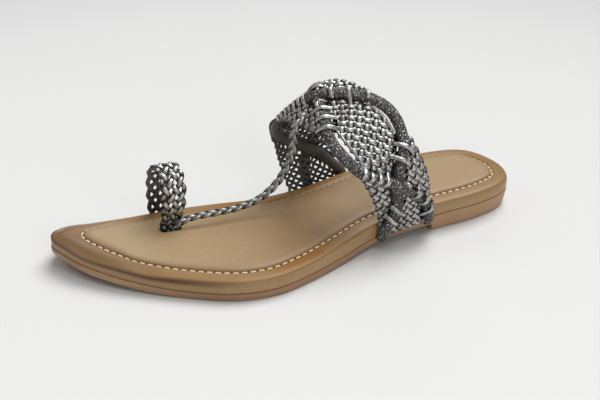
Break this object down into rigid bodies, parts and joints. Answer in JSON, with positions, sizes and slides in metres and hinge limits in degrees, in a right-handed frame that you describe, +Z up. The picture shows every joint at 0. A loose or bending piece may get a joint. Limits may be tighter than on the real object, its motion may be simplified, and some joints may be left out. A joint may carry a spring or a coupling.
{
  "type": "kolhapuri chappal",
  "caption": "Flat leather toe-loop sandal for the left foot with a woven instep band, glitter cords, a braided toe cord and an open braided toe ring on a padded, stitched footbed",
  "frame": {"origin": "on the floor under the middle of the shoe's bounding box", "axes": "+X from heel to toe, +Y to the outer (left) side of the foot, +Z up"},
  "size_m": [0.254, 0.0926, 0.0823],
  "materials": {
    "outsole": "reddish brown, satin",
    "midsole": "tan brown, burnished at toe and heel",
    "insole": "light tan, matte",
    "instep_band": "pewter metallic strips with dark glitter cords",
    "toe_cord": "pewter metallic braid",
    "toe_ring": "pewter metallic braid"
  },
  "bodies": {
    "root": {"outsole": "outsole", "midsole": "midsole", "insole": "insole", "upper_instep_band": "instep_band", "upper_toe_cord": "toe_cord", "upper_toe_ring": "toe_ring"}
  },
  "joints": []
}
